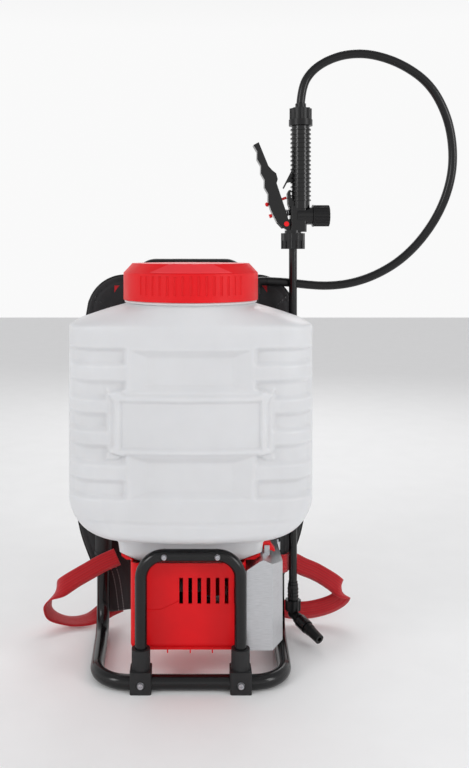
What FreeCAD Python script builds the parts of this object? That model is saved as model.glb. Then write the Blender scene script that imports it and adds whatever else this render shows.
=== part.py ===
"""Battery backpack sprayer, in millimetres. +Z is up, the front of the tank faces -Y.

The origin is on the floor under the middle of the frame.
"""
import math
import os

import FreeCAD
import Part

V = FreeCAD.Vector
X, Y, Z = V(1, 0, 0), V(0, 1, 0), V(0, 0, 1)

# Driving dimensions
TUBE_R, TUBE_WALL = 9.5, 1.5                # frame tube
GUARD_R = 8.0                               # front guard tube
FRONT_Y, UPRIGHT_Y = -90.0, 80.0            # frame planes, front and back
FRONT_X, UPRIGHT_X = 124.0, 131.0           # half widths of the frame
UPRIGHT_TOP = 400.0
GUARD_X, GUARD_TOP = 64.7, 175.0            # guard leg and top bar
TANK_X, TANK_FRONT, TANK_BACK = 165.5, -105.0, 68.0
TANK_BOTTOM, TANK_EDGE, TANK_NECK = 194.0, 474.0, 501.0
TANK_BULGE = 9.0                            # how far the front face bows out
TANK_WALL = 5.0
TANK_BOSSES = [(-108, 380), (108, 380), (-60, 445), (60, 445)]
GUARD_BOSSES = (-34.5, 34.5)
LID_Y, LID_R, LID_BOTTOM, LID_TOP = -22.0, 92.5, 504.5, 554.0
NECK_R = 84.0
HOUSING_X0, HOUSING_X1 = -80.0, 73.5        # pump housing sides
HOUSING_FRONT, HOUSING_BACK = -70.0, 58.0
HOUSING_Z0, HOUSING_Z1 = 42.0, 157.0
COVER_X = 125.0                             # outer face of the battery cover
WAND_X, WAND_Y, WAND_R = 152.5, 73.0, 6.0
GRIP_X = 164.0
HOSE_R = 6.5
RISER_X, RISER_Y = 97.0, 84.0
TRIGGER_PIVOT = V(141.6, WAND_Y, 610.5)
TRIGGER_LEAN = math.radians(18.4)           # lean of the squeeze lever, off upright
PLUNGER_Z = 627.5
LOCK_IN, LOCK_OUT = V(142.6, WAND_Y, 650.0), V(116.0, WAND_Y, 640.6)
LOCK_AXIS = (LOCK_OUT - LOCK_IN).normalize()
CLEAR = 0.05                                # running clearance, radial
SIDES = (-1, 1)


def box(x0, x1, y0, y1, z0, z1):
    return Part.makeBox(x1 - x0, y1 - y0, z1 - z0, V(x0, y0, z0))


def cyl(radius, start, end):
    axis = end - start
    return Part.makeCylinder(radius, axis.Length, start, axis)


def cone(radius0, radius1, start, end):
    axis = end - start
    return Part.makeCone(radius0, radius1, axis.Length, start, axis)


def ring(outer, inner, start, end):
    return cyl(outer, start, end).cut(cyl(inner, start, end))


def fuse(shapes):
    whole = shapes[0]
    for shape in shapes[1:]:
        whole = whole.fuse(shape)
    return whole.removeSplitter()


def rounded_path(points, radii):
    """Straight runs joined by tangent arcs, one radius for each inner point."""
    edges = []
    start = points[0]
    for before, corner, after, radius in zip(points, points[1:], points[2:], radii):
        inward = (before - corner).normalize()
        outward = (after - corner).normalize()
        half = inward.getAngle(outward) / 2
        setback = radius / math.tan(half)
        first = corner + inward * setback
        last = corner + outward * setback
        bisector = (inward + outward).normalize()
        middle = corner + bisector * (radius / math.sin(half) - radius)
        edges.append(Part.LineSegment(start, first).toShape())
        edges.append(Part.Arc(first, middle, last).toShape())
        start = last
    edges.append(Part.LineSegment(start, points[-1]).toShape())
    return Part.Wire(edges)


def rod(path, radius):
    """A round bar along a path."""
    start = path.Edges[0].valueAt(path.Edges[0].FirstParameter)
    along = path.Edges[0].tangentAt(path.Edges[0].FirstParameter)
    section = Part.Wire(Part.makeCircle(radius, start, along))
    return path.makePipeShell([section], True, False)


def pipe(path, outer, inner):
    return rod(path, outer).cut(rod(path, inner))


def free_radii(points):
    """The largest bend at each point that both its runs have room for."""
    radii = []
    for before, corner, after in zip(points, points[1:], points[2:]):
        turn = math.pi - (before - corner).getAngle(after - corner)
        run = min((corner - before).Length, (after - corner).Length)
        radii.append(0.45 * run / math.tan(turn / 2))
    return radii


def ribbon(stations, width, thickness):
    """Flat webbing through (centre, width direction) stations, as ruled spans."""
    sections = []
    for index, (centre, across) in enumerate(stations):
        before = stations[max(index - 1, 0)][0]
        after = stations[min(index + 1, len(stations) - 1)][0]
        along = (after - before).normalize()
        across = (across - along * across.dot(along)).normalize() * (width / 2)
        out = along.cross(across).normalize() * (thickness / 2)
        corners = [centre + across + out, centre - across + out,
                   centre - across - out, centre + across - out]
        sections.append(Part.makePolygon(corners + corners[:1]))
    return Part.makeLoft(sections, True, True)


def slab(outline, start, along):
    """A flat outline of points, thickened by the vector along."""
    points = [start + point for point in outline]
    return Part.Face(Part.makePolygon(points + points[:1])).extrude(along)


def xz_slab(outline, y0, y1):
    return slab([V(x, 0, z) for x, z in outline], V(0, y0, 0), V(0, y1 - y0, 0))


def soften(shape, radius, pick):
    """Round the edges that pick() chooses."""
    return shape.makeFillet(radius, [edge for edge in shape.Edges if pick(edge)])


def runs_along(direction, smallest=0.0):
    def pick(edge):
        line = edge.Curve.TypeId == "Part::GeomLine"
        return line and edge.Length > smallest and abs(edge.tangentAt(0).dot(direction)) > 0.999
    return pick


# ---------------------------------------------------------------- frame

def frame_path():
    rest_z, front_z = TUBE_R, TUBE_R + 1.0
    points = [V(-UPRIGHT_X, UPRIGHT_Y, UPRIGHT_TOP), V(-UPRIGHT_X, UPRIGHT_Y, rest_z),
              V(-FRONT_X, FRONT_Y, front_z), V(FRONT_X, FRONT_Y, front_z),
              V(UPRIGHT_X, UPRIGHT_Y, rest_z), V(UPRIGHT_X, UPRIGHT_Y, UPRIGHT_TOP)]
    return rounded_path(points, [40, 45, 45, 40])


def base_frame():
    tube = pipe(frame_path(), TUBE_R, TUBE_R - TUBE_WALL)
    for side in (-1, 1):
        x = side * GUARD_X
        tube = tube.cut(cyl(2.6, V(x, FRONT_Y - 20, 12), V(x, FRONT_Y, 12)))
    return tube


def frame_end_cap(side):
    x = side * UPRIGHT_X
    top = V(x, UPRIGHT_Y, UPRIGHT_TOP)
    plug = cyl(TUBE_R - TUBE_WALL - CLEAR, top - Z * 14, top)
    return fuse([plug, cyl(TUBE_R + 0.8, top + Z * 0.05, top + Z * 4), cyl(5, top, top + Z * 2)])


def upright_sleeve(side):
    base = V(side * UPRIGHT_X, UPRIGHT_Y, 117.5)
    sleeve = ring(12.2, TUBE_R + CLEAR, base, base + Z * 62)
    return sleeve.fuse(ring(13.2, TUBE_R + CLEAR, base, base + Z * 4)).removeSplitter()


def front_guard():
    points = [V(-GUARD_X, FRONT_Y, 33), V(-GUARD_X, FRONT_Y, GUARD_TOP),
              V(GUARD_X, FRONT_Y, GUARD_TOP), V(GUARD_X, FRONT_Y, 33)]
    tube = pipe(rounded_path(points, [30, 30]), GUARD_R, GUARD_R - 1.5)
    for x in GUARD_BOSSES:
        tube = tube.cut(cyl(2.6, V(x, FRONT_Y - 10, GUARD_TOP), V(x, FRONT_Y + 10, GUARD_TOP)))
    return tube


def guard_socket(side):
    centre = V(side * GUARD_X, FRONT_Y, 0)
    block = box(centre.x - 14, centre.x + 14, FRONT_Y - 14, FRONT_Y + 14, 0, 28.6)
    block = soften(block, 3, runs_along(Z))
    socket = block.fuse(cyl(12.1, centre + Z * 20, centre + Z * 54.6)).removeSplitter()
    socket = socket.cut(cyl(GUARD_R + CLEAR, centre + Z * 32.5, centre + Z * 60))
    tube_z = TUBE_R + 1.0
    bore = cyl(TUBE_R + CLEAR, V(centre.x - 20, FRONT_Y, tube_z), V(centre.x + 20, FRONT_Y, tube_z))
    return socket.cut(bore).cut(cyl(2.6, centre + V(0, -20, 12), centre + V(0, 0, 12)))


def cross_head(start, along, radius, height, shaft_radius, shaft_length):
    """A domed cross-head screw: start is under the head and along points out of it."""
    head = cone(radius, radius * 0.72, start, start + along * height)
    shaft = cyl(shaft_radius, start - along * shaft_length, start)
    side = along.cross(Z) if abs(along.z) < 0.9 else X
    other = along.cross(side)
    screw = head.fuse(shaft)
    for arm in (side, other):
        thick = along.cross(arm) * 0.5
        face = [arm * -radius * 0.5 - thick, arm * radius * 0.5 - thick,
                arm * radius * 0.5 + thick, arm * -radius * 0.5 + thick]
        screw = screw.cut(slab(face, start + along * height * 0.35, along * height))
    return screw


def guard_screws():
    low = [cross_head(V(side * GUARD_X, FRONT_Y - 14, 12), -Y, 4.8, 2.6, 2.5, 9) for side in SIDES]
    high = [cross_head(V(x, FRONT_Y - GUARD_R, GUARD_TOP), -Y, 4.0, 2.2, 2.5, 27) for x in GUARD_BOSSES]
    return low + high


# ---------------------------------------------------------------- tank

def tank_outline(inset, z):
    """Plan of the tank: flat back, straight sides, bowed front, round corners."""
    half = TANK_X - inset
    front, back = TANK_FRONT + inset, TANK_BACK - inset
    front_r, back_r = 48.0 - inset, 24.0 - inset
    diagonal = math.sqrt(0.5)
    shape = []
    for side in (1, -1):
        cx, cy = side * (half - front_r), front + front_r
        bx, by = side * (half - back_r), back - back_r
        front_arc = [V(cx, front, z), V(cx + side * front_r * diagonal, cy - front_r * diagonal, z),
                     V(side * half, cy, z)]
        back_arc = [V(side * half, by, z), V(bx + side * back_r * diagonal, by + back_r * diagonal, z),
                    V(bx, back, z)]
        shape.append((front_arc, back_arc))
    (right_front, right_back), (left_front, left_back) = shape
    edges = [Part.Arc(left_front[0], V(0, front - TANK_BULGE, z), right_front[0]),
             Part.Arc(*right_front), Part.LineSegment(right_front[2], right_back[0]),
             Part.Arc(*right_back), Part.LineSegment(right_back[2], left_back[2]),
             Part.Arc(*left_back[::-1]), Part.LineSegment(left_back[0], left_front[2]),
             Part.Arc(*left_front[::-1])]
    return Part.Wire([edge.toShape() for edge in edges])


def tank_side_profile(inset):
    """Front view of the body: large round bottom corners and sloping shoulders."""
    half, bottom = TANK_X - inset, TANK_BOTTOM + inset
    edge, neck = TANK_EDGE - inset * 0.6, TANK_NECK - inset
    points = [V(-98, 0, neck), V(-half, 0, edge), V(-half, 0, bottom),
              V(half, 0, bottom), V(half, 0, edge), V(98, 0, neck)]
    outline = rounded_path(points, [12, 54 - inset, 54 - inset, 12])
    return Part.Wire(outline.Edges + [Part.LineSegment(points[-1], points[0]).toShape()])


def tank_depth_profile(inset):
    """Side view of the body, as wide as the bowed front."""
    front, back = TANK_FRONT - TANK_BULGE + inset, TANK_BACK - inset
    bottom, edge, neck = TANK_BOTTOM + inset, TANK_EDGE - inset * 0.6, TANK_NECK - inset
    points = [V(0, LID_Y - 86, neck), V(0, front, edge), V(0, front, bottom),
              V(0, back, bottom), V(0, back, edge + 12), V(0, back - 12, neck)]
    outline = rounded_path(points, [3, 14 - inset, 14 - inset, 5])
    return Part.Wire(outline.Edges + [Part.LineSegment(points[-1], points[0]).toShape()])


def tank_body(inset):
    plan = Part.Face(tank_outline(inset, TANK_BOTTOM - 10)).extrude(Z * 330)
    front_view = Part.Face(tank_side_profile(inset))
    front_view.translate(V(0, -160, 0))
    side_view = Part.Face(tank_depth_profile(inset))
    side_view.translate(V(-200, 0, 0))
    return plan.common(front_view.extrude(Y * 300)).common(side_view.extrude(X * 400))


def sump(inset):
    """The narrow lower part of the tank, which stands in the pump housing."""
    top = [(-96, -64), (96, -64), (96, 50), (-96, 50)]
    low = [(-66, -58), (60, -58), (60, 40), (-66, 40)]
    wires = []
    for outline, z in ((top, TANK_BOTTOM + 8), (top, 168), (low, 152 + inset)):
        points = [V(x - math.copysign(inset, x), y - math.copysign(inset, y), z) for x, y in outline]
        wires.append(Part.makePolygon(points + points[:1]))
    solid = Part.makeLoft(wires, True, True)
    return soften(solid, 11 - inset, lambda edge: abs(edge.tangentAt(edge.FirstParameter).z) > 0.3)


def rib_bands():
    """Shallow bands cut round the corners and sides between the raised ribs."""
    outer = Part.Face(tank_outline(-2, 0)).extrude(Z * 15)
    inner = Part.Face(tank_outline(2.5, 0)).extrude(Z * 15)
    band = outer.cut(inner)
    middle = box(-108, 108, -200, 200, -1, 16)
    back = box(-200, 200, 30, 200, -1, 16)
    band = band.cut(middle).cut(back)
    bands = []
    for z in (243, 286, 329, 372):
        piece = band.copy()
        piece.translate(Z * z)
        bands.append(piece)
    return bands


def pocket(x, z0, z1, bevel, depth):
    """A bevelled recess in the front face."""
    face_y = TANK_FRONT - TANK_BULGE
    rims = []
    for y, grow in ((face_y - 12, bevel * 2), (face_y + depth, 0)):
        corners = [V(-x - grow, y, z0 - grow), V(x + grow, y, z0 - grow),
                   V(x + grow, y, z1 + grow), V(-x - grow, y, z1 + grow)]
        rims.append(Part.makePolygon(corners + corners[:1]))
    return Part.makeLoft(rims, True, True)


def badge_frame():
    """The raised eight-sided frame across the front."""
    outline = [(-108, 334), (-96, 391), (-62, 391), (-54, 383), (54, 383), (62, 391), (96, 391),
               (108, 334), (96, 304), (62, 304), (54, 310), (-54, 310), (-62, 304), (-96, 304)]
    bowed = Part.Face(tank_outline(-2.0, 290)).extrude(Z * 120)
    plate = xz_slab(outline, TANK_FRONT - 20, TANK_FRONT + 8)
    return bowed.common(plate)


def neck():
    base = V(0, LID_Y, 488)
    top = V(0, LID_Y, 541)
    barrel = cyl(NECK_R, base, top)
    collar = cyl(91, base, V(0, LID_Y, 503.5))
    return barrel.fuse(collar), cyl(NECK_R - 4, base - Z * 5, top + Z)


def tank():
    raised_neck, mouth = neck()
    outer = tank_body(0).fuse(sump(0)).fuse(raised_neck)
    for band in rib_bands():
        outer = outer.cut(band)
    outer = outer.cut(pocket(52, 412, 430, 6, 2.5)).cut(pocket(52, 262, 286, 6, 2.5))
    outer = outer.fuse(badge_frame()).cut(pocket(88, 320, 376, 2, 1.5))
    inner = tank_body(TANK_WALL).fuse(sump(4)).fuse(mouth)
    shell = outer.cut(inner)
    for x, z in TANK_BOSSES:
        back = TANK_BACK
        shell = shell.fuse(cyl(7, V(x, back - 15, z), V(x, back - 1, z)))
        shell = shell.cut(cyl(2.55, V(x, back - 11, z), V(x, back + 5, z)))
    outlet = V(-3, -10, 152)
    shell = shell.fuse(ring(9, 6, outlet - Z * 14, outlet + Z * 3))
    for x in GUARD_BOSSES:
        post = cyl(6, V(x, FRONT_Y + GUARD_R + 0.1, GUARD_TOP), V(x, -58, GUARD_TOP))
        shell = shell.fuse(post).cut(cyl(2.55, V(x, FRONT_Y, GUARD_TOP), V(x, -68, GUARD_TOP)))
    return shell.cut(cyl(6, outlet - Z * 15, outlet + Z * 8)).removeSplitter()


def lid():
    base, shoulder, top = (V(0, LID_Y, z) for z in (LID_BOTTOM, 541, LID_TOP))
    shell = cyl(LID_R, base, shoulder).fuse(cone(LID_R, 80.5, shoulder, top))
    shell = shell.cut(cyl(87.5, base - Z, base + Z * 36.5)).cut(cone(87.4, 84, shoulder - Z, shoulder + Z * 4))
    shell = shell.cut(cyl(76, shoulder, top - Z * 4))
    shell = shell.fuse(ring(87.6, NECK_R + 1.2, base + Z * 8, base + Z * 11))
    for middle in (-90, 90):
        for step in range(15):
            angle = math.radians(middle + (step - 7) * 6.35)
            spot = V(math.cos(angle) * (LID_R + 0.9), LID_Y + math.sin(angle) * (LID_R + 0.9), 0)
            shell = shell.cut(cyl(2.2, spot + Z * 513, spot + Z * 538))
    return shell.removeSplitter()


def lid_gasket():
    return ring(83.5, 79.5, V(0, LID_Y, 541.1), V(0, LID_Y, 544.9))


def strainer_basket():
    """A round basket hung in the mouth, open at the top, with slotted walls."""
    top, bottom = V(0, LID_Y, 540.5), V(0, LID_Y, 470)
    basket = cone(70, 77.5, bottom, top).cut(cone(67.5, 75, bottom + Z * 3, top + Z))
    for step in range(12):
        angle = math.radians(step * 30 + 15)
        along = V(math.cos(angle), math.sin(angle), 0)
        across = V(-along.y, along.x, 0) * 7
        low = V(0, LID_Y, 482)
        face = [along * 60 - across, along * 60 + across, along * 90 + across, along * 90 - across]
        basket = basket.cut(slab(face, low, Z * 42))
    return basket.fuse(ring(79.3, 75, top - Z * 2, top)).removeSplitter()


def carry_handle():
    points = [V(-76, 82.5, 432), V(-76, 82.5, 550), V(76, 82.5, 550), V(76, 82.5, 432)]
    bar = rod(rounded_path(points, [24, 24]), 9.0)
    for x0 in (-86, 50):
        bar = bar.fuse(box(x0, x0 + 36, 73.5, 91, 430, 458))
    for x, z in TANK_BOSSES[2:]:
        bar = bar.cut(cyl(2.6, V(x, 60, z), V(x, 100, z)))
        bar = bar.cut(cyl(5.2, V(x, 86, z), V(x, 100, z)))
    return bar.removeSplitter()


def tank_clamp(side):
    """A block round the upright, with a flange screwed to the tank's back."""
    x = side * UPRIGHT_X
    block = box(x - 14, x + 14, 68.3, 91.5, 365, 395)
    inner = x - side * 33
    flange = box(min(inner, x), max(inner, x), 68.3, 72.3, 365, 395)
    hole = cyl(TUBE_R + CLEAR, V(x, UPRIGHT_Y, 360), V(x, UPRIGHT_Y, 400))
    return block.fuse(flange).cut(hole).cut(cyl(2.6, V(side * 108, 60, 380), V(side * 108, 80, 380)))


# ---------------------------------------------------------------- pump housing

def housing_block(inset):
    """Body of the pump housing, with rounded lower edges and upright corners."""
    x0, x1 = HOUSING_X0 + inset, HOUSING_X1 - inset
    front, back = HOUSING_FRONT + inset, HOUSING_BACK - inset
    z0 = HOUSING_Z0 + inset
    body = box(x0, x1, front, back, z0, HOUSING_Z1 + inset * 4)
    along = runs_along(Y, 100)
    body = soften(body, 7 - inset, lambda edge: along(edge) and edge.BoundBox.ZMax < 100)
    return soften(body, 9 - inset, runs_along(Z, 60))


def sump_seat():
    """The space the sump stands in, a little larger than the sump."""
    seat = sump(-0.4)
    return seat.fuse(box(-70, 64, -60, 44, 150, 160))


def housing_shell():
    shell = housing_block(0).cut(housing_block(2.5)).cut(sump_seat())
    floor = box(HOUSING_X0 + 2, HOUSING_X1 - 2, HOUSING_FRONT + 2, HOUSING_BACK - 2,
                HOUSING_Z0, HOUSING_Z0 + 3)
    return shell.fuse(floor).removeSplitter()


SEAM_Y = -6.0
HOUSING_SCREWS = [(-66, 50), (60, 50), (-66, 128), (60, 128)]


def front_shell():
    shell = housing_shell().common(box(-200, 200, -200, SEAM_Y, 0, 200))
    for step in range(7):
        x = -12.7 + step * 12.05
        shell = shell.cut(box(x - 2.5, x + 2.5, -80, -60, 103.5, 138))
    stepped = [(-80, 95.5), (-40, 95.5), (-18, 106), (-12, 108), (-12, 110), (-18, 108.2),
               (-40, 97.7), (-80, 97.7)]
    shell = shell.cut(xz_slab(stepped, HOUSING_FRONT - 1, HOUSING_FRONT + 0.8))
    for x in (-30.7, -0.6, 28.7):
        shell = shell.fuse(box(x - 0.8, x + 0.8, HOUSING_FRONT + 1, HOUSING_FRONT + 7, 38, 45))
    for x, z in HOUSING_SCREWS:
        boss = ring(4.5, 1.6, V(x, HOUSING_FRONT + 2, z), V(x, SEAM_Y - 0.1, z))
        shell = shell.fuse(boss.common(box(-200, 200, -68, 0, 44.5, 149)))
    return shell.removeSplitter()


def rear_shell():
    shell = housing_shell().common(box(-200, 200, SEAM_Y + 0.1, 200, 0, 200))
    for x, z in HOUSING_SCREWS:
        boss = ring(4.5, 1.8, V(x, SEAM_Y + 0.2, z), V(x, HOUSING_BACK - 2, z))
        shell = shell.fuse(boss.common(box(-200, 200, -68, 57, 44.5, 149)))
        shell = shell.cut(cyl(1.8, V(x, 40, z), V(x, 70, z)))
        shell = shell.cut(cyl(3.6, V(x, 48, z), V(x, 70, z)))
    shell = shell.cut(cyl(5.6, V(48, 50, 84), V(48, 70, 84)))
    shell = shell.cut(box(-84, -70, 20, 40, 96, 126))
    return shell.removeSplitter()


def case_screws():
    housing = [cross_head(V(x, 48, z), Y, 3.3, 2.2, 1.5, 62) for x, z in HOUSING_SCREWS]
    handle = [cross_head(V(x, 86, z), Y, 4.6, 2.6, 2.5, 28) for x, z in TANK_BOSSES[2:]]
    clamps = [cross_head(V(x, 72.3, z), Y, 4.2, 2.2, 2.5, 14) for x, z in TANK_BOSSES[:2]]
    return housing + handle + clamps


def sump_ears():
    """Two red ears on the housing's rim, which cradle the sump's sloping sides."""
    ears = []
    for side, inner in ((-1, 76.2), (1, 72.4)):
        outline = [(inner, 157.15), (91.5, 165.2), (93, 165.2), (93, 162.4), (86, 157.15)]
        ears.append(xz_slab([(side * x, z) for x, z in outline], -56, 40))
    return ears


def switch_frame():
    frame = box(-83, -74, 21, 39, 97, 125).cut(box(-84, -76, 23, 37, 99, 123))
    frame = frame.cut(box(-80, -70, 24.5, 35.5, 104, 118))
    return frame.cut(cyl(1.55, V(-79.5, 20, 111), V(-79.5, 40, 111)))


def power_switch():
    """Rocker with a stub axle at each side."""
    outline = [(-85.5, 121.5), (-82.5, 111), (-81, 100.5), (-76.6, 100.5), (-76.6, 113), (-79, 121.5)]
    axle = cyl(1.5, V(-79.5, 22.0, 111), V(-79.5, 38.0, 111))
    return xz_slab(outline, 24, 36).fuse(axle).removeSplitter()


def pump_head():
    body = soften(box(-30, 14, -32, 12, 62, 104), 4, runs_along(Z))
    inlet = ring(6, 3.5, V(-3, -10, 104), V(-3, -10, 122))
    outlet = ring(6, 3.5, V(14, -10, 84), V(28, -10, 84))
    return body.fuse(inlet).fuse(outlet).removeSplitter()


def pump_motor():
    can = cyl(19, V(-70, -10, 83), V(-30.2, -10, 83))
    return can.fuse(cyl(6, V(-74, -10, 83), V(-69, -10, 83))).removeSplitter()


def pump_cradle():
    """Bracket under the pump, standing on the housing floor."""
    return box(-60, 12, -28, 8, 45.1, 61.9).cut(cyl(19.2, V(-80, -10, 83), V(-29, -10, 83)))


def pump_inlet_tube():
    return ring(5.9, 4, V(-3, -10, 122.1), V(-3, -10, 137.9))


def pump_outlet_tube():
    path = rounded_path([V(28.1, -10, 84), V(48, -10, 84), V(48, 43.9, 84)], [14])
    return pipe(path, 5.5, 3.5)


def outlet_elbow():
    """Elbow through the housing's back wall, from the outlet tube to the riser."""
    path = rounded_path([V(48, 44, 84), V(48, RISER_Y, 84), V(64, RISER_Y, 84)], [11])
    flange = ring(9.5, 5.4, V(48, HOUSING_BACK + 0.1, 84), V(48, HOUSING_BACK + 4, 84))
    return pipe(path, 5.5, 3.5).fuse(flange).removeSplitter()


def hose_riser():
    """The held stretch of hose, from the pump's elbow up to the hose elbow."""
    path = rounded_path([V(64.1, RISER_Y, 84), V(RISER_X, RISER_Y, 84), V(RISER_X, RISER_Y, 505)], [28])
    return pipe(path, HOSE_R, 4.0)


def hose_elbow():
    """Elbow at the riser's top, turning the hose out to the side."""
    path = rounded_path([V(RISER_X, RISER_Y, 505.1), V(RISER_X, RISER_Y, 525), V(114, RISER_Y, 525)], [10])
    nut = ring(7.8, 6, V(RISER_X, RISER_Y, 506), V(RISER_X, RISER_Y, 515))
    return pipe(path, 6.5, 3.5).fuse(nut).removeSplitter()


# ---------------------------------------------------------------- battery side

def cover_profile(inset):
    low, high = HOUSING_Z0 + inset, 149 - inset * 0.5
    x0, x1 = HOUSING_X1 + 0.6, COVER_X - inset
    return [(x0, low), (x1, low), (x1, high), (COVER_X - 28 - inset * 0.4, 161 - inset),
            (COVER_X - 33, 159.5 - inset), (x0, 147.5 - inset)]


def battery_cover():
    """Hollow cover with a gabled top and a bevelled front corner, open towards the housing."""
    corner = slab([V(COVER_X - 17, -90, 0), V(150, -90, 0), V(150, -38, 0), V(COVER_X, -38, 0),
                   V(COVER_X - 15, -67, 0), V(COVER_X - 17, -71, 0)], V(0, 0, 30), Z * 150)
    outside = xz_slab(cover_profile(0), -70, 57.4).cut(corner)
    inside = xz_slab(cover_profile(2), -68, 60)
    inside = inside.common(box(0, COVER_X - 18, -80, 80, 0, 200).fuse(box(0, 200, -34, 80, 0, 200)))
    cover = outside.cut(inside).cut(box(70, HOUSING_X1 + 0.5, -80, 80, 0, 200))
    ear = ring(4.5, 2.05, HINGE + Z * 60, HINGE + Z * 72)
    for z in (60, 130):
        arm = box(COVER_X - 4, COVER_X + 3, 53, 59, z, z + 12)
        arm = arm.cut(cyl(2.05, HINGE + Z * 50, HINGE + Z * 160))
        knuckle = ear.copy()
        knuckle.translate(Z * (z - 60))
        cover = cover.fuse(arm).fuse(knuckle)
    for y in (-37, -17.6):
        ear = box(100.5, 107.5, y, y + 2.6, 156, 169.5)
        cover = cover.fuse(ear.cut(xz_slab(cover_profile(1), -70, 56)))
    return cover.fuse(cyl(1.5, V(104, -36.9, 166.8), V(104, -15.1, 166.8))).removeSplitter()


HINGE = V(COVER_X + 3, 61, 0)


def hinge_bracket():
    """Fixed back plate of the battery bay, with two knuckles for the cover's hinge pin."""
    parts = []
    for z in (74, 121):
        knuckle = ring(4.5, 2.0, HINGE + Z * z, HINGE + Z * (z + 8.5))
        arm = box(COVER_X - 8, COVER_X, 58.4, 61.4, z, z + 8.5)
        parts.append(knuckle.fuse(arm.cut(cyl(2.0, HINGE + Z * 50, HINGE + Z * 160))))
    plate = box(HOUSING_X1 - 10, COVER_X - 6, 58.4, 61.4, 44, 146)
    return fuse(parts + [plate])


def hinge_pin():
    return cyl(2.0, HINGE + Z * 57, HINGE + Z * 145)


def battery_pack():
    body = soften(box(84, 116, -33, 34, 64, 126), 5, runs_along(Y))
    rail = box(80.5, 84.5, -30, 22, 74, 116)
    return body.fuse(rail).removeSplitter()


def terminal_block():
    plate = box(74, 80.3, -44, 34, 68, 122).cut(box(79.9, 81, -36, 24, 72, 118))
    return plate


def battery_latch():
    """Red catch on the cover's ridge, with a finger tab."""
    outline = [(99, 163), (110, 162), (114, 160), (115.5, 162), (111, 167), (109, 172), (100, 174.5), (98, 172)]
    latch = xz_slab(outline, -34, -18)
    return latch.cut(cyl(1.55, V(104, -40, 166.8), V(104, -10, 166.8))).removeSplitter()


# ---------------------------------------------------------------- lance

def lance_point(x, z):
    return V(x, WAND_Y, z)


NOZZLE_AXIS = V(0.51, -0.82, -0.25).normalize()   # forward, outward and a little down


def ribs(radius, count, start, along, length, depth):
    """Upright ribs round a nut."""
    side = along.cross(Y)
    if side.Length < 0.1:
        side = X
    other = along.cross(side)
    bars = []
    for step in range(count):
        angle = 2 * math.pi * step / count
        centre = start + side * (math.cos(angle) * radius) + other * (math.sin(angle) * radius)
        bars.append(cyl(depth, centre, centre + along * length))
    return bars


def wand_tube():
    return ring(WAND_R, 4.2, lance_point(WAND_X, 62.5), lance_point(WAND_X, 606))


def wand_clip(z):
    """Snap clip round the upright, with an open jaw round the wand."""
    gap = WAND_X - UPRIGHT_X
    upright = V(UPRIGHT_X, UPRIGHT_Y, z)
    wand = lance_point(WAND_X, z)
    body = cyl(TUBE_R + 2.2, upright, upright + Z * 14).fuse(cyl(WAND_R + 1.2, wand, wand + Z * 14))
    body = body.fuse(box(UPRIGHT_X, WAND_X, WAND_Y, UPRIGHT_Y + 2, z, z + 14))
    body = body.cut(cyl(TUBE_R + CLEAR, upright - Z, upright + Z * 15))
    body = body.cut(cyl(WAND_R + CLEAR, wand - Z, wand + Z * 15))
    return body.cut(box(UPRIGHT_X + gap * 0.8, UPRIGHT_X + gap * 1.2, WAND_Y - 12, WAND_Y, z - 1, z + 15))


def wand_collar():
    low, high = lance_point(WAND_X, 51), lance_point(WAND_X, 76)
    collar = cyl(7.6, low, high - Z * 2).fuse(cyl(6.8, high - Z * 2, high + Z * 2))
    for z in (56, 61, 66):
        collar = collar.fuse(cyl(8.2, lance_point(WAND_X, z), lance_point(WAND_X, z + 1.6)))
    return collar.cut(cyl(WAND_R + CLEAR, lance_point(WAND_X, 62), high + Z * 5)).removeSplitter()


def elbow_nut():
    low, high = lance_point(WAND_X, 35.5), lance_point(WAND_X, 50.9)
    nut = cyl(10.6, low, high)
    for bar in ribs(10.6, 12, low, Z, 15.4, 1.1):
        nut = nut.fuse(bar)
    return nut.cut(cyl(6.5, low - Z, high + Z)).removeSplitter()


def nozzle_elbow():
    """Elbow that turns the spray outward, with a barb up into its nut."""
    top = lance_point(WAND_X, 46)
    bend = lance_point(WAND_X, 30)
    elbow = cyl(6.4, bend, top).fuse(Part.makeSphere(7.6, bend))
    elbow = elbow.fuse(cyl(7.6, bend, bend + Z * 5.3)).fuse(cyl(6.7, bend, bend + NOZZLE_AXIS * 17))
    elbow = elbow.fuse(cyl(8.0, bend + NOZZLE_AXIS * 11, bend + NOZZLE_AXIS * 15))
    elbow = elbow.fuse(cyl(5.8, bend, bend + NOZZLE_AXIS * 27))
    return elbow.cut(cyl(2.5, bend, top + Z)).cut(cyl(2.5, bend, bend + NOZZLE_AXIS * 30)).removeSplitter()


def nozzle_nut():
    start = lance_point(WAND_X, 30) + NOZZLE_AXIS * 17.4
    nut = cyl(9.6, start, start + NOZZLE_AXIS * 17)
    for bar in ribs(9.6, 14, start, NOZZLE_AXIS, 17, 1.0):
        nut = nut.fuse(bar)
    return nut.cut(cyl(6.0, start - NOZZLE_AXIS, start + NOZZLE_AXIS * 18)).removeSplitter()


def nozzle_tip():
    start = lance_point(WAND_X, 30) + NOZZLE_AXIS * 28.5
    tip = cyl(5.7, start, start + NOZZLE_AXIS * 7).fuse(cyl(8.2, start + NOZZLE_AXIS * 6.4, start + NOZZLE_AXIS * 13))
    tip = tip.fuse(cone(7.6, 6.8, start + NOZZLE_AXIS * 13, start + NOZZLE_AXIS * 34))
    tip = tip.cut(cyl(1.2, start - NOZZLE_AXIS, start + NOZZLE_AXIS * 40))
    return tip.cut(cyl(3.4, start + NOZZLE_AXIS * 29, start + NOZZLE_AXIS * 40)).removeSplitter()


# ---------------------------------------------------------------- shut-off handle

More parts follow.
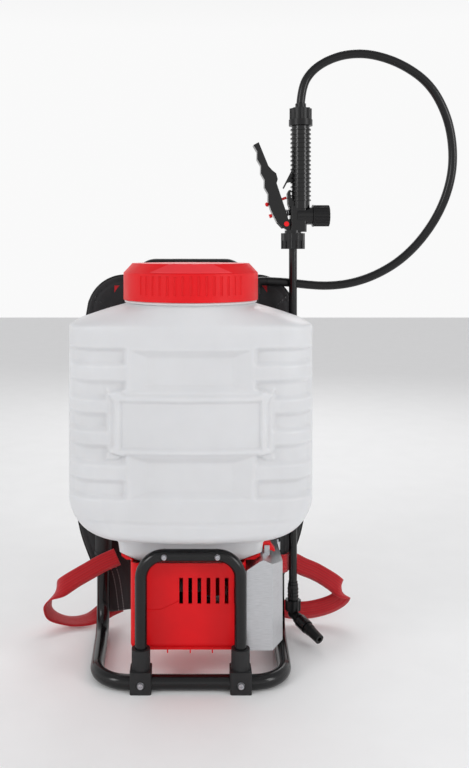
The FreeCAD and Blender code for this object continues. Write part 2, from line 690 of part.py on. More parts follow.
def wand_nut():
    low, mid, high = (lance_point(WAND_X, z) for z in (573.5, 586, 597))
    nut = cyl(15.2, low, mid).fuse(cyl(16.4, mid, high))
    for bar in ribs(15.6, 10, low, Z, 23.5, 2.2):
        nut = nut.fuse(bar)
    return nut.cut(cyl(WAND_R + CLEAR, low - Z, low + Z * 8)).cut(cyl(8.6, low + Z * 7.9, high + Z)).removeSplitter()


def handle_body():
    """Valve block, side port, ribbed grip and its trigger guard, moulded in one."""
    block = box(147.8, 172, 62, 84, 599, 637)
    body = soften(block, 4, runs_along(Z))
    body = body.fuse(cyl(8.3, lance_point(WAND_X, 586.5), lance_point(WAND_X, 600)))
    body = body.fuse(cyl(12.4, lance_point(WAND_X, 597.3), lance_point(WAND_X, 601)))
    body = body.fuse(cyl(13.2, lance_point(158, 623), lance_point(181, 623)))
    body = body.fuse(cyl(10.5, lance_point(180, 623), lance_point(196, 623)))
    body = body.fuse(cyl(13.4, lance_point(GRIP_X, 634), lance_point(GRIP_X, 756)))
    for step in range(17):
        z = 645 + step * 6.56
        body = body.fuse(cyl(15.3, lance_point(GRIP_X, z), lance_point(GRIP_X, z + 2.0)))
    body = body.fuse(ring(12.2, 6.1, lance_point(GRIP_X, 755), lance_point(GRIP_X, 764)))
    hook = [(148, 630), (144.5, 640), (143.5, 656), (146, 661), (149, 661), (148, 657), (149, 650),
            (153, 646), (153, 630)]
    body = body.fuse(xz_slab(hook, 65.5, 70)).fuse(xz_slab(hook, 76, 80.5))
    web = [(151, 692), (137, 664.5), (138.6, 663), (143.5, 672), (151, 673.5)]
    body = body.fuse(xz_slab(web, 70.5, 75.5))
    lug = [(136.5, 606), (136.5, 615), (148, 618.5), (148, 599), (142, 602)]
    body = body.fuse(xz_slab(lug, 68, 78))
    body = body.cut(cyl(2.2, V(TRIGGER_PIVOT.x, 60, TRIGGER_PIVOT.z), V(TRIGGER_PIVOT.x, 90, TRIGGER_PIVOT.z)))
    bore = cyl(6, lance_point(GRIP_X, 640), lance_point(GRIP_X, 770))
    port = cyl(7, lance_point(165, 623), lance_point(197, 623))
    channel = cyl(4, lance_point(GRIP_X, 615), lance_point(GRIP_X, 642))
    valve = cyl(4.05, lance_point(140, PLUNGER_Z), lance_point(166, PLUNGER_Z))
    socket = cyl(WAND_R + CLEAR, lance_point(WAND_X, 580), lance_point(WAND_X, 606.1))
    inflow = cyl(3.5, lance_point(WAND_X, 605), lance_point(WAND_X, PLUNGER_Z))
    for hole in (bore, port, channel, valve, socket, inflow):
        body = body.cut(hole)
    return body.removeSplitter()


def trigger_lever():
    """Long squeeze lever with finger waves, forked round the handle's lug."""
    along = V(-math.sin(TRIGGER_LEAN), 0, math.cos(TRIGGER_LEAN))
    out = V(-math.cos(TRIGGER_LEAN), 0, -math.sin(TRIGGER_LEAN))
    waves = []
    for step in range(17):
        distance = 40 + step * 5.4
        depth = 13.5 - step * 0.36 + 1.5 * math.cos(step * math.pi / 2.0)
        waves.append((distance, depth))
    back = [(-4.8, 0), (-3.5, -3.4), (0, -4.8), (20, -5.5), (62, -5.5), (67, -9), (76, -9.5), (82, -5.5), (90, -2), (128, 0.5)]
    front = waves[::-1] + [(26, 15), (6, 12), (-4.8, 7)]
    outline = []
    for distance, depth in back + front:
        point = TRIGGER_PIVOT + along * distance + out * depth
        outline.append((point.x, point.z))
    lever = xz_slab(outline, 63.5, 82.5)
    pivot_low = V(TRIGGER_PIVOT.x, 60, TRIGGER_PIVOT.z)
    fork = box(128.3, 160, 67, 79, 596, 636)
    lever = lever.cut(fork).cut(cyl(2.05, pivot_low, pivot_low + Y * 30))
    return lever.cut(cyl(2.05, LOCK_IN - LOCK_AXIS * 10, LOCK_OUT + LOCK_AXIS * 10)).removeSplitter()


def trigger_pin():
    start = V(TRIGGER_PIVOT.x, 62.2, TRIGGER_PIVOT.z)
    return cyl(2.0, start, start + Y * 21.5).fuse(cyl(3.7, start - Y * 1.6, start)).removeSplitter()


def trigger_lock():
    """Push rod through the lever, with a round knob at its outer end."""
    knob = cone(2.6, 3.3, LOCK_OUT + LOCK_AXIS * 0.8, LOCK_OUT + LOCK_AXIS * 1.6)
    knob = knob.fuse(cyl(3.3, LOCK_OUT + LOCK_AXIS * 1.6, LOCK_OUT + LOCK_AXIS * 3.2))
    knob = knob.fuse(cone(3.3, 1.9, LOCK_OUT + LOCK_AXIS * 3.2, LOCK_OUT + LOCK_AXIS * 5.0))
    return cyl(2.0, LOCK_IN, LOCK_OUT + LOCK_AXIS * 1.2).fuse(knob).removeSplitter()


def trigger_knob():
    """Small red knob on the lever's outer edge."""
    along = V(-math.sin(TRIGGER_LEAN), 0, math.cos(TRIGGER_LEAN))
    base = TRIGGER_PIVOT + along * 18.5 - V(14.6, 0, 4.6)
    return cyl(2.9, base, base + LOCK_AXIS * 4.2)


def valve_plunger():
    rod_end = lance_point(129, PLUNGER_Z)
    plunger = cyl(4.0, rod_end, lance_point(160, PLUNGER_Z))
    return plunger.fuse(cyl(5.8, rod_end + X * 2.2, rod_end + X * 4)).removeSplitter()


def valve_spring():
    """Coil spring round the plunger, between its collar and the valve block."""
    coil = Part.makeHelix(2.3, 12.4, 5.2)
    start = Part.Wire(Part.makeCircle(0.55, V(5.2, 0, 0), Y))
    spring = Part.Wire(coil.Edges).makePipeShell([start], True, True)
    spring.rotate(V(0, 0, 0), Y, 90)
    spring.translate(lance_point(133.9, PLUNGER_Z))
    return spring


def filter_cap():
    """Ribbed cap that closes the filter port at the handle's side."""
    cap = cyl(15.0, lance_point(181.3, 623), lance_point(206, 623))
    for bar in ribs(15.0, 18, lance_point(181.3, 623), X, 24.7, 0.9):
        cap = cap.fuse(bar)
    cap = cap.fuse(cyl(16.4, lance_point(181.3, 623), lance_point(183.3, 623)))
    return cap.cut(cyl(10.6, lance_point(180, 623), lance_point(202, 623))).removeSplitter()


def filter_screen():
    return ring(6.7, 5.6, lance_point(168, 623), lance_point(200, 623))


def hose_nut():
    low, high = lance_point(GRIP_X, 757), lance_point(GRIP_X, 783)
    nut = cyl(17.6, low, low + Z * 9).fuse(cyl(14.6, low + Z * 9, high))
    for bar in ribs(14.6, 8, low + Z * 9, Z, 17, 2.0):
        nut = nut.fuse(bar)
    return nut.cut(cyl(12.4, low - Z, low + Z * 8)).cut(cyl(8.2, low, high + Z)).removeSplitter()


def hose_ferrule():
    """Barbed tail inside the nut, which the hose is pushed on to."""
    ferrule = cyl(8.0, lance_point(GRIP_X, 764.2), lance_point(GRIP_X, 790))
    return ferrule.cut(cyl(3.5, lance_point(GRIP_X, 760), lance_point(GRIP_X, 800)))


# ---------------------------------------------------------------- harness

PANEL_Y = 92.0


def back_panel():
    """Stiff padded board behind the tank that carries the straps."""
    points = [V(0, PANEL_Y, 526), V(-104, PANEL_Y, 526), V(-140, PANEL_Y, 468), V(-112, PANEL_Y, 250),
              V(112, PANEL_Y, 250), V(140, PANEL_Y, 468), V(104, PANEL_Y, 526), V(0, PANEL_Y, 526)]
    outline = rounded_path(points, [30, 50, 26, 26, 50, 30])
    board = Part.Face(Part.Wire(outline.Edges)).extrude(Y * 5.5)
    return board


def back_pad():
    pad = box(-92, 92, PANEL_Y + 5.8, PANEL_Y + 21, 268, 420)
    return soften(pad, 6, lambda edge: True)


def panel_clips():
    """Clips that hold the board to the uprights."""
    clips = []
    for side in (-1, 1):
        for z in (272, 340):
            centre = V(side * UPRIGHT_X, UPRIGHT_Y, z)
            clip = ring(TUBE_R + 2.2, TUBE_R + CLEAR, centre, centre + Z * 16)
            inner = side * (UPRIGHT_X - 21)
            tab = box(min(inner, centre.x), max(inner, centre.x), 88.6, 91.8, z, z + 16)
            clips.append(clip.fuse(tab.cut(cyl(TUBE_R + CLEAR, centre - Z, centre + Z * 20))).removeSplitter())
    return clips


def strap_stations(side):
    """The padded strap: a fan over the shoulder, then down the back and in to its tail."""
    stations = []
    for angle in (95, 65, 35, 8):
        across = V(math.cos(math.radians(angle)), 0, math.sin(math.radians(angle)))
        stations.append((V(100, 104, 476) + across * 31, across))
    for x, y, z, lean in ((137, 104, 440, 0), (140, 104, 390, 0), (143, 104, 320, 0), (147, 104, 240, 0),
                          (148, 104, 190, 0), (142, 103, 150, -0.3), (128, 100, 112, -0.35),
                          (113, 98, 78, -0.3), (105, 97, 26, -0.1)):
        stations.append((V(x, y, z), V(1, 0, lean)))
    return [(V(side * at.x, at.y, at.z), V(side * to.x, 0, to.z)) for at, to in stations]


def shoulder_strap(side):
    return ribbon(strap_stations(side), 54, 10)


def strap_anchor(side):
    """Red webbing that ties the strap's top to the board."""
    return ribbon([(V(side * 104, 98.25, 496), X), (V(side * 104, 98.25, 518), X)], 24, 0.9)


LEFT_LOOP = [
    ((-109, 66, 117), (0.4, 0, 0.9)), ((-130, 65, 108), (0.4, 0, 0.9)), ((-152, 64, 96), (0.45, 0, 0.9)),
    ((-176, 64, 82), (0.5, 0, 0.85)), ((-194, 65, 69), (0.5, 0.2, 0.85)), ((-207, 69, 55), (0.55, 0.6, 0.5)),
    ((-213, 75, 42), (0.3, 1, 0.1)), ((-211, 82, 27), (0.2, 1, 0)), ((-199, 90, 15), (0.1, 1, 0)),
    ((-180, 96, 8), (0, 1, 0.1)), ((-158, 100, 9), (0, 1, 0.3)), ((-140, 103, 16), (0, 0.7, 0.7)),
    ((-126, 104.2, 24), (-0.2, 0.1, 1)), ((-108, 104.2, 32), (-0.2, 0, 1))]
RIGHT_LOOP = [
    ((125, 65.4, 107), Z), ((137.5, 65.5, 107), Z), ((143, 70.3, 106.5), Z), ((144.9, 76, 106), Z),
    ((148.5, 84, 104), Z), ((158, 91, 99), (-0.2, 0, 1)),
    ((170, 94, 92), (-0.3, 0, 1)), ((190, 96, 83), (-0.4, 0, 1)), ((212, 96, 70), (-0.5, 0, 1)),
    ((227, 98, 57), (-0.6, -0.3, 1)), ((232, 104, 44), (-0.5, -0.6, 1)), ((224, 109, 33), (-0.3, -0.3, 1)),
    ((205, 110, 24), (-0.1, 0, 1)), ((180, 109, 20), Z), ((155, 106, 21), Z), ((134, 104.2, 26), Z),
    ((112, 104.2, 32), Z)]


def webbing_loop(side):
    """Lower webbing: from the strap's tail, out round the side and back to the upright."""
    stations = LEFT_LOOP if side < 0 else RIGHT_LOOP
    return ribbon([(V(*centre), V(*across)) for centre, across in stations], 27, 1.8)


# ---------------------------------------------------------------- hose

def hose_points():
    """Route of the free hose, from its elbow round to the handle."""
    route = [(114.3, 84, 525), (140, 84.7, 524.2), (171, 87.5, 520), (206, 89, 517.5), (243, 89, 521.5),
             (281, 89, 534.5), (318, 88, 557), (351, 86, 591), (378, 84, 635), (393, 82, 684),
             (393.5, 80, 731), (383, 78.5, 777), (358, 77, 821), (317, 76, 850), (272, 75, 865),
             (234, 74, 865), (203, 73.5, 855), (180, 73, 839), (166.2, 73, 816.5), (164, 73, 790.6)]
    return [V(*point) for point in route]


def hose():
    points = hose_points()
    radii = free_radii(points)
    tube = pipe(rounded_path(points, radii), HOSE_R, 4.0)
    length = rounded_path(points, radii).Length
    section = math.pi * (HOSE_R ** 2 - 4.0 ** 2)
    print("hose radii", [round(radius) for radius in radii])
    print("hose length", round(length), "volume ratio", round(tube.Volume / (section * length), 4))
    return tube


# ---------------------------------------------------------------- writing

def tank_nodes():
    return {
        "tank": tank(), "lid": lid(), "lid_gasket": lid_gasket(), "strainer_basket": strainer_basket(),
        "carry_handle": carry_handle(), "tank_clamps": [tank_clamp(side) for side in SIDES],
    }


def frame_nodes():
    return {
        "base_frame": base_frame(), "front_guard": front_guard(), "guard_screws": guard_screws(),
        "frame_end_caps": [frame_end_cap(side) for side in SIDES],
        "upright_sleeves": [upright_sleeve(side) for side in SIDES],
        "guard_sockets": [guard_socket(side) for side in SIDES],
    }


def pump_nodes():
    return {
        "housing_front": front_shell(), "housing_rear": rear_shell(), "case_screws": case_screws(),
        "sump_ears": sump_ears(), "switch_frame": switch_frame(), "power_switch": power_switch(),
        "pump_head": pump_head(), "pump_motor": pump_motor(), "pump_cradle": pump_cradle(),
        "pump_inlet_tube": pump_inlet_tube(), "pump_outlet_tube": pump_outlet_tube(),
        "outlet_elbow": outlet_elbow(),
    }


def battery_nodes():
    return {
        "battery_cover": battery_cover(), "cover_hinge_bracket": hinge_bracket(),
        "cover_hinge_pin": hinge_pin(), "battery_pack": battery_pack(),
        "terminal_block": terminal_block(), "battery_latch": battery_latch(),
    }


def lance_nodes():
    return {
        "wand_tube": wand_tube(), "wand_clips": [wand_clip(z) for z in (222, 310)],
        "wand_collar": wand_collar(), "elbow_nut": elbow_nut(), "nozzle_elbow": nozzle_elbow(),
        "nozzle_nut": nozzle_nut(), "nozzle_tip": nozzle_tip(), "wand_nut": wand_nut(),
        "handle_body": handle_body(), "trigger_lever": trigger_lever(), "trigger_pin": trigger_pin(),
        "trigger_lock": trigger_lock(), "trigger_knob": trigger_knob(),
        "valve_plunger": valve_plunger(), "valve_spring": valve_spring(),
        "filter_cap": filter_cap(), "filter_screen": filter_screen(), "hose_nut": hose_nut(),
        "hose_ferrule": hose_ferrule(), "hose_riser": hose_riser(), "hose_elbow": hose_elbow(),
        "hose": hose(),
    }


def harness_nodes():
    made = {
        "back_panel": back_panel(), "back_pad": back_pad(), "panel_clips": panel_clips(),
        "strap_anchors": [strap_anchor(side) for side in SIDES],
    }
    for name, side in (("left", -1), ("right", 1)):
        made["shoulder_strap_" + name] = shoulder_strap(side)
        made["webbing_loop_" + name] = webbing_loop(side)
    return made


def write_parts(made):
    """Save each named sub-part as its own file, and return the size of them all."""
    whole = FreeCAD.BoundBox()
    for name, shape in made.items():
        if isinstance(shape, list):
            shape = Part.makeCompound(shape)
        for solid in shape.Solids:
            if not solid.isValid():
                print("not valid:", name)
        box_size = shape.BoundBox
        print(name, len(shape.Solids), round(shape.Volume), "z from", round(box_size.ZMin, 2))
        shape.exportStep("parts/" + name + ".step")
        if name != "hose":
            whole.add(box_size)
    return whole


def main():
    os.makedirs("parts", exist_ok=True)
    whole = FreeCAD.BoundBox()
    for made in (tank_nodes(), frame_nodes(), pump_nodes(), battery_nodes(), lance_nodes(), harness_nodes()):
        whole.add(write_parts(made))
    print("all but the hose: x", round(whole.XMin, 1), round(whole.XMax, 1), "y", round(whole.YMin, 1),
          round(whole.YMax, 1), "z", round(whole.ZMin, 1), round(whole.ZMax, 1))


main()
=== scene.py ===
"""Looks for the backpack sprayer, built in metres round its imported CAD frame."""
import math
import random

import bmesh
import bpy
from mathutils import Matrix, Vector


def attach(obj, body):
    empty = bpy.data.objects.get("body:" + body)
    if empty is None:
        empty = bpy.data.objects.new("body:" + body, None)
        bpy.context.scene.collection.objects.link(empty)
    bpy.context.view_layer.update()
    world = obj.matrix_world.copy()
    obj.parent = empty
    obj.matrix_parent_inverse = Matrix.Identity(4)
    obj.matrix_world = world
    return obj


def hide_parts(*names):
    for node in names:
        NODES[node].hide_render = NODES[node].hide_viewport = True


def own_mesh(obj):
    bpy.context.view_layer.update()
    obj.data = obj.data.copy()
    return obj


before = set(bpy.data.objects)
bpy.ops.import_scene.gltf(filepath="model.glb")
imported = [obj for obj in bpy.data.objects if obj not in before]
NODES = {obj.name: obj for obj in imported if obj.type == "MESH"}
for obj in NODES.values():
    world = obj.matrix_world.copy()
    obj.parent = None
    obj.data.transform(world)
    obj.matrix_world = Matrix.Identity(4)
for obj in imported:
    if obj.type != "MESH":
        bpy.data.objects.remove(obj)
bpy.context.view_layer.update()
UP = Vector((0, 0, 1))


# ---------------------------------------------------------------- materials

class Shader:
    """A new material with one main shader, and short ways to add nodes to it."""

    def __init__(self, name, **sockets):
        self.material = bpy.data.materials.new(name)
        self.material.use_nodes = True
        self.nodes = self.material.node_tree.nodes
        self.links = self.material.node_tree.links
        self.main = self.nodes["Principled BSDF"]
        for socket, value in sockets.items():
            self.main.inputs[socket.replace("_", " ")].default_value = value

    def add(self, kind, **values):
        node = self.nodes.new(kind)
        for key, value in values.items():
            if key in node.inputs:
                node.inputs[key].default_value = value
            else:
                setattr(node, key, value)
        return node

    def link(self, source, target):
        self.links.new(source, target)

    def place(self, uv=False, scale=(1, 1, 1)):
        coords = self.add("ShaderNodeTexCoord")
        mapping = self.add("ShaderNodeMapping", Scale=scale)
        self.link(coords.outputs["UV" if uv else "Object"], mapping.inputs["Vector"])
        return mapping.outputs["Vector"]

    def noise(self, where, scale, detail=4.0, roughness=0.55):
        node = self.add("ShaderNodeTexNoise", Scale=scale, Detail=detail, Roughness=roughness)
        self.link(where, node.inputs["Vector"])
        return node.outputs["Fac"]

    def ramp(self, value, low, high, start=0.3, end=0.7):
        node = self.add("ShaderNodeValToRGB")
        for element, place, colour in zip(node.color_ramp.elements, (start, end), (low, high)):
            element.position = place
            element.color = (*colour, 1) if len(colour) == 3 else colour
        self.link(value, node.inputs["Fac"])
        return node.outputs["Color"]

    def maths(self, operation, first, second):
        node = self.add("ShaderNodeMath", operation=operation)
        for index, value in enumerate((first, second)):
            if isinstance(value, (int, float)):
                node.inputs[index].default_value = value
            else:
                self.link(value, node.inputs[index])
        return node.outputs[0]

    def span(self, value, low, high):
        node = self.add("ShaderNodeMapRange")
        node.inputs["To Min"].default_value = low
        node.inputs["To Max"].default_value = high
        self.link(value, node.inputs["Value"])
        return node.outputs["Result"]

    def bump(self, height, strength, distance):
        node = self.add("ShaderNodeBump", Strength=strength, Distance=distance)
        self.link(height, node.inputs["Height"])
        previous = self.main.inputs["Normal"].links
        if previous:
            self.link(previous[0].from_socket, node.inputs["Normal"])
        self.link(node.outputs["Normal"], self.main.inputs["Normal"])


def shade(colour, factor):
    return tuple(min(1.0, part * factor) for part in colour)


def moulded(name, colour, rough, grain=900, grain_height=0.00004, drift=0.12, **sockets):
    """Moulded plastic, paint or rubber: slow colour drift, uneven gloss and a fine grain."""
    look = Shader(name, **sockets)
    where = look.place()
    slow = look.noise(where, 14, 3)
    tone = look.ramp(slow, shade(colour, 1 - drift), shade(colour, 1 + drift))
    look.link(tone, look.main.inputs["Base Color"])
    wear = look.noise(where, 60, 6, 0.7)
    look.link(look.span(wear, rough * 0.72, min(1, rough * 1.35)), look.main.inputs["Roughness"])
    look.bump(look.noise(where, grain, 2), 0.5, grain_height)
    look.bump(look.noise(where, 45, 2), 0.12, 0.0006)
    return look


def metal(name, colour, rough, streak=(1, 1, 1), scale=300, **sockets):
    """Bare metal with fine streaks along one direction."""
    look = Shader(name, Metallic=1.0, **sockets)
    where = look.place(scale=streak)
    fine = look.noise(where, scale, 5, 0.6)
    look.link(look.ramp(fine, shade(colour, 0.82), shade(colour, 1.08)), look.main.inputs["Base Color"])
    look.link(look.span(fine, rough * 0.7, rough * 1.4), look.main.inputs["Roughness"])
    look.bump(fine, 0.35, 0.00006)
    return look


def woven(name, colour, thread=0.0016):
    """Herringbone webbing: slanted threads that turn back at each stripe, from UVs in metres."""
    look = Shader(name, Sheen_Weight=0.3, Sheen_Roughness=0.4)
    where = look.place(uv=True)
    split = look.add("ShaderNodeSeparateXYZ")
    look.link(where, split.inputs["Vector"])
    band = thread * 2.2
    stripe = look.maths("PINGPONG", split.outputs["Y"], band)
    slant = look.maths("ADD", split.outputs["X"], look.maths("MULTIPLY", stripe, 1.4))
    wave = look.maths("SINE", look.maths("MULTIPLY", slant, 2 * math.pi / thread), 0.0)
    turns = look.maths("MULTIPLY", split.outputs["Y"], 2 * math.pi / band)
    rows = look.maths("SINE", turns, 0.0)
    weave = look.maths("ADD", wave, look.maths("MULTIPLY", rows, 0.5))
    fuzz = look.noise(look.place(), 1800, 3)
    shown = look.span(look.maths("ADD", weave, fuzz), 0.0, 1.0)
    tone = look.ramp(look.maths("MULTIPLY", look.maths("ADD", weave, 2.0), 0.28), shade(colour, 0.55),
                     shade(colour, 1.25), 0.15, 0.95)
    look.link(tone, look.main.inputs["Base Color"])
    look.link(look.span(fuzz, 0.62, 0.9), look.main.inputs["Roughness"])
    look.bump(shown, 0.8, 0.00035)
    return look


def cloth(name, colour, cell=0.0022, sheen=0.35):
    """Padded fabric: a fine two-way weave laid on by object place, with slow shading drift."""
    look = Shader(name, Sheen_Weight=sheen, Sheen_Roughness=0.5)
    where = look.place()
    across = look.add("ShaderNodeTexWave", Scale=1 / cell, Distortion=0.6, bands_direction="X")
    down = look.add("ShaderNodeTexWave", Scale=1 / cell, Distortion=0.6, bands_direction="Z")
    for wave in (across, down):
        look.link(where, wave.inputs["Vector"])
    weave = look.maths("MULTIPLY", across.outputs["Fac"], down.outputs["Fac"])
    slow = look.noise(where, 25, 4)
    mixed = look.maths("ADD", look.maths("MULTIPLY", weave, 0.6), look.maths("MULTIPLY", slow, 0.4))
    tone = look.ramp(mixed, shade(colour, 0.5), shade(colour, 1.7), 0.1, 0.8)
    look.link(tone, look.main.inputs["Base Color"])
    look.link(look.span(slow, 0.7, 0.95), look.main.inputs["Roughness"])
    look.bump(weave, 0.6, 0.0003)
    look.bump(slow, 0.4, 0.002)
    return look


def tank_plastic():
    """Milky blow-moulded polyethylene: light passes in a little, with faint flow marks."""
    return moulded("tank_white", (0.69, 0.695, 0.71), 0.42, 500, 0.00003, 0.03,
                   Subsurface_Weight=0.35, Subsurface_Radius=(0.02, 0.022, 0.024),
                   Subsurface_Scale=0.6, Coat_Weight=0.12, Coat_Roughness=0.3)


RED = (0.74, 0.001, 0.005)
MATERIALS = {
    "gloss_black": moulded("gloss_black", (0.004, 0.004, 0.0045), 0.2, 700, 0.00002, 0.2,
                           Specular_IOR_Level=0.4),
    "satin_black": moulded("satin_black", (0.006, 0.006, 0.0065), 0.34, 1100, 0.00005, 0.25,
                           Specular_IOR_Level=0.3),
    "rough_black": moulded("rough_black", (0.018, 0.018, 0.019), 0.55, 1400, 0.00012, 0.25,
                           Specular_IOR_Level=0.3),
    "tank_white": tank_plastic(),
    "red_satin": moulded("red_satin", RED, 0.42, 1200, 0.00005, 0.06, Specular_IOR_Level=0.3),
    # red_painted_highlight: a paler copy of the lid's red, a painted highlight for the lid facet that
    # catches the light
    "red_painted_highlight": moulded("red_painted_highlight", (0.80, 0.035, 0.045), 0.45, 1200, 0.00006, 0.06,
                        Specular_IOR_Level=0.3),
    "red_gloss": moulded("red_gloss", shade(RED, 1.1), 0.28, 900, 0.00003, 0.06, Specular_IOR_Level=0.4),
    "zinc": metal("zinc", (0.55, 0.55, 0.58), 0.3),
    "brushed_cover": metal("brushed_cover", (0.62, 0.63, 0.65), 0.32, (6, 6, 160), 14),
    "motor_steel": metal("motor_steel", (0.42, 0.42, 0.45), 0.35, (200, 20, 20), 5),
    "spring_steel": metal("spring_steel", (0.6, 0.6, 0.62), 0.22),
    "gauze": metal("gauze", (0.5, 0.5, 0.5), 0.4, (1, 1, 1), 1500),
    "hose_black": moulded("hose_black", (0.004, 0.004, 0.0045), 0.24, 600, 0.00003, 0.2,
                          Specular_IOR_Level=0.35),
    "seal_rubber": moulded("seal_rubber", (0.02, 0.02, 0.02), 0.7, 1300, 0.0001),
    "clear_tube": moulded("clear_tube", (0.6, 0.63, 0.6), 0.25, 600, 0.00003, 0.05,
                          Transmission_Weight=0.4),
    "pad_black": cloth("pad_black", (0.016, 0.016, 0.018)),
    "mesh_black": cloth("mesh_black", (0.022, 0.022, 0.024), 0.0045, 0.5),
    "webbing_red": woven("webbing_red", (0.56, 0.004, 0.012)),
    "thread_white": moulded("thread_white", (0.55, 0.55, 0.55), 0.7, 1800, 0.00005),
}
NODE_LOOKS = {
    "gloss_black": ["base_frame", "front_guard", "cover_hinge_bracket", "trigger_lever", "handle_body",
                    "wand_nut", "elbow_nut", "nozzle_nut", "wand_tube", "wand_collar"],
    "satin_black": ["carry_handle", "tank_clamps", "frame_end_caps", "nozzle_elbow", "nozzle_tip",
                    "filter_cap", "hose_nut", "hose_ferrule", "hose_elbow", "outlet_elbow",
                    "switch_frame", "battery_pack", "terminal_block", "wand_clips", "panel_clips",
                    "valve_plunger", "strainer_basket", "pump_head", "pump_cradle"],
    "rough_black": ["guard_sockets", "upright_sleeves"],
    "tank_white": ["tank"],
    "red_satin": ["housing_front", "housing_rear", "sump_ears", "lid"],
    "red_gloss": ["trigger_pin", "trigger_lock", "trigger_knob", "battery_latch", "power_switch"],
    "zinc": ["guard_screws", "case_screws", "cover_hinge_pin"],
    "brushed_cover": ["battery_cover"], "motor_steel": ["pump_motor"],
    "spring_steel": ["valve_spring"], "gauze": ["filter_screen"],
    "hose_black": ["hose_riser"], "seal_rubber": ["lid_gasket"],
    "clear_tube": ["pump_inlet_tube", "pump_outlet_tube"], "pad_black": ["back_panel"],
    "webbing_red": ["strap_anchors"],
}


def dress(piece, look):
    piece.data.materials.clear()
    piece.data.materials.append(MATERIALS[look].material)


def dress_nodes():
    for look, names in NODE_LOOKS.items():
        for name in names:
            dress(NODES[name], look)


# ---------------------------------------------------------------- making pieces

def finish_piece(piece, look, body="sprayer", replaces=()):
    dress(piece, look)
    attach(piece, body)
    if replaces:
        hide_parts(*replaces)
    return piece


def mesh_piece(name, points, faces, smooth=True):
    mesh = bpy.data.meshes.new(name)
    mesh.from_pydata([tuple(point) for point in points], [], faces)
    mesh.validate()
    for polygon in mesh.polygons:
        polygon.use_smooth = smooth
    piece = bpy.data.objects.new(name, mesh)
    bpy.context.scene.collection.objects.link(piece)
    return piece


def loft(name, rings, closed=True, caps=True):
    """A skin over rings of points, each with the same count."""
    count = len(rings[0])
    points = [point for loop in rings for point in loop]
    faces = []
    for row in range(len(rings) - 1):
        for column in range(count if closed else count - 1):
            after = (column + 1) % count
            faces.append((row * count + column, row * count + after,
                          (row + 1) * count + after, (row + 1) * count + column))
    if caps:
        faces.append(tuple(range(count))[::-1])
        faces.append(tuple((len(rings) - 1) * count + step for step in range(count)))
    return mesh_piece(name, points, faces)


def smooth_path(stations, steps=8):
    """Catmull-Rom points through (centre, width direction) stations."""
    centres = [Vector(centre) for centre, _ in stations]
    sides = [Vector(side).normalized() for _, side in stations]

    def between(values, index, share):
        a = values[max(index - 1, 0)]
        b, c = values[index], values[index + 1]
        d = values[min(index + 2, len(values) - 1)]
        return 0.5 * (2 * b + (c - a) * share + (2 * a - 5 * b + 4 * c - d) * share ** 2
                      + (3 * b - a - 3 * c + d) * share ** 3)

    path = []
    for index in range(len(stations) - 1):
        for step in range(steps):
            share = step / steps
            path.append((between(centres, index, share), between(sides, index, share).normalized()))
    path.append((centres[-1], sides[-1]))
    return path


def path_frames(stations, steps=8):
    """(centre, across, out, length so far) along a smooth path."""
    path = smooth_path(stations, steps)
    frames = []
    travelled = 0.0
    for index, (centre, side) in enumerate(path):
        before = path[max(index - 1, 0)][0]
        after = path[min(index + 1, len(path) - 1)][0]
        along = (after - before).normalized()
        across = (side - along * side.dot(along)).normalized()
        if index:
            travelled += (centre - before).length
        frames.append((centre, across, along.cross(across).normalized(), travelled))
    return frames


def strip(name, frames, profile):
    """A strap swept along frames. The profile is (across, out) pairs, and UVs are in metres."""
    rings = []
    for centre, across, out, _ in frames:
        rings.append([centre + across * x + out * y for x, y in profile])
    piece = loft(name, rings)
    layer = piece.data.uv_layers.new(name="UVMap")
    count = len(profile)
    girth = [0.0]
    for index in range(1, count):
        a, b = Vector(profile[index - 1]), Vector(profile[index])
        girth.append(girth[-1] + (b - a).length)
    for polygon in piece.data.polygons:
        for corner in polygon.loop_indices:
            vertex = piece.data.loops[corner].vertex_index
            row, column = divmod(vertex, count)
            layer.data[corner].uv = (frames[row][3], profile[column][0] + 0.2)
    return piece


def tube_curve(name, points, radius, cyclic=False):
    """A round cord or piping along points, as a mesh."""
    curve = bpy.data.curves.new(name, "CURVE")
    curve.dimensions = "3D"
    curve.bevel_depth = radius
    curve.bevel_resolution = 3
    spline = curve.splines.new("POLY")
    spline.points.add(len(points) - 1)
    for target, point in zip(spline.points, points):
        target.co = (*point, 1)
    spline.use_cyclic_u = cyclic
    holder = bpy.data.objects.new(name + "_path", curve)
    mesh = bpy.data.meshes.new_from_object(holder)
    bpy.data.objects.remove(holder)
    for polygon in mesh.polygons:
        polygon.use_smooth = True
    piece = bpy.data.objects.new(name, mesh)
    bpy.context.scene.collection.objects.link(piece)
    return piece


def join(name, pieces):
    """One piece from several."""
    bm = bmesh.new()
    for piece in pieces:
        bm.from_mesh(piece.data)
    mesh = bpy.data.meshes.new(name)
    bm.to_mesh(mesh)
    bm.free()
    for piece in pieces:
        bpy.data.objects.remove(piece)
    joined = bpy.data.objects.new(name, mesh)
    bpy.context.scene.collection.objects.link(joined)
    return joined


# ---------------------------------------------------------------- tank skin

HALF, FRONT, BACK, BULGE = 0.1625, -0.105, 0.068, 0.009
BOTTOM, EDGE = 0.194, 0.474
CORNER, BASE_EDGE = 0.054, 0.014
LID_Y = -0.022
WALL_ROWS = 150


